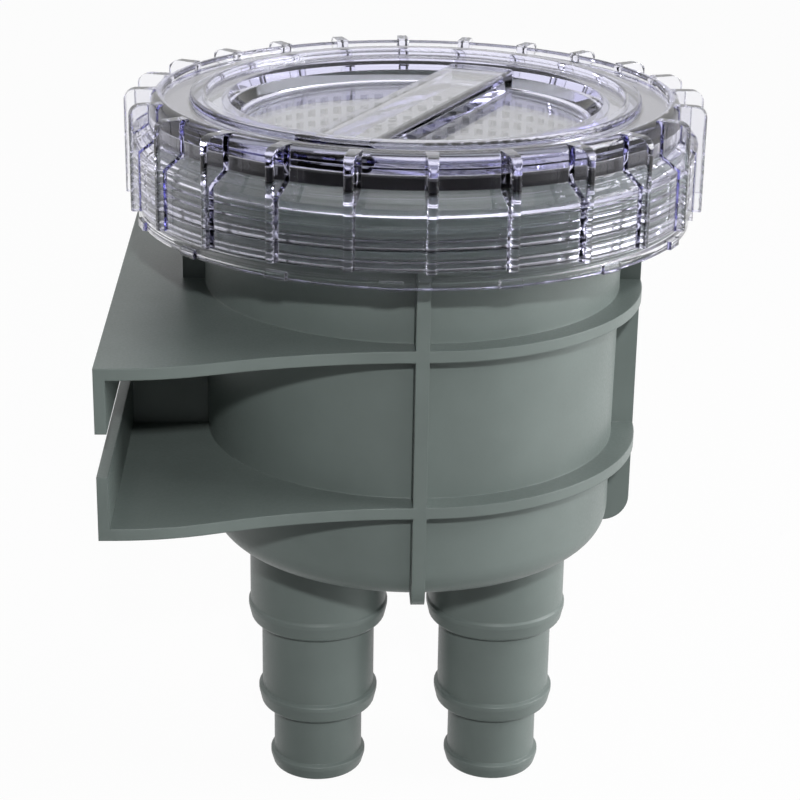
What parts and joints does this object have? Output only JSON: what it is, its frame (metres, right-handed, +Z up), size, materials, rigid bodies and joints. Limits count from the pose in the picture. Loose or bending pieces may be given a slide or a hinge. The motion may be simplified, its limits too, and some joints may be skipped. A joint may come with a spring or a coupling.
{
  "type": "sea water strainer",
  "caption": "Wall-hung sea water strainer: moulded vessel with bracket flanges and stepped hose tails, hanging basket, rubber seal and clear screw lid with a grip bar.",
  "frame": {"origin": "on the wall plane, in the middle of the slot between the bracket's two lips", "axes": "+Z up along the vessel's axis, +X away from the wall, +Y along the wall; the vessel's axis is at x = 0.078"},
  "size_m": [0.1533, 0.1506, 0.197],
  "materials": {
    "vessel_plastic": "grey-green moulded plastic with a fine matt grain",
    "basket_plastic": "light grey moulded plastic",
    "seal_rubber": "black smooth rubber",
    "clear_plastic": "clear polished plastic with a faint violet tint"
  },
  "bodies": {
    "vessel": {"housing": "vessel_plastic", "strainer_basket": "basket_plastic"},
    "seal": {"lid_seal": "seal_rubber"},
    "lid": {"screw_lid": "clear_plastic"}
  },
  "joints": [
    {"name": "lid_rise", "type": "slide", "parent": "vessel", "child": "seal", "axis": [0, 0, 1], "range_m": [0, 0.025]},
    {"name": "lid_turn", "type": "hinge", "parent": "seal", "child": "lid", "pos_m": [0.078, 0, 0.06], "axis": [0, 0, 1], "range_deg": [0, 1800]}
  ],
  "couplings": [
    {"joint": "lid_rise", "follows": "lid_turn", "m_per_rad": 0.00079577}
  ]
}
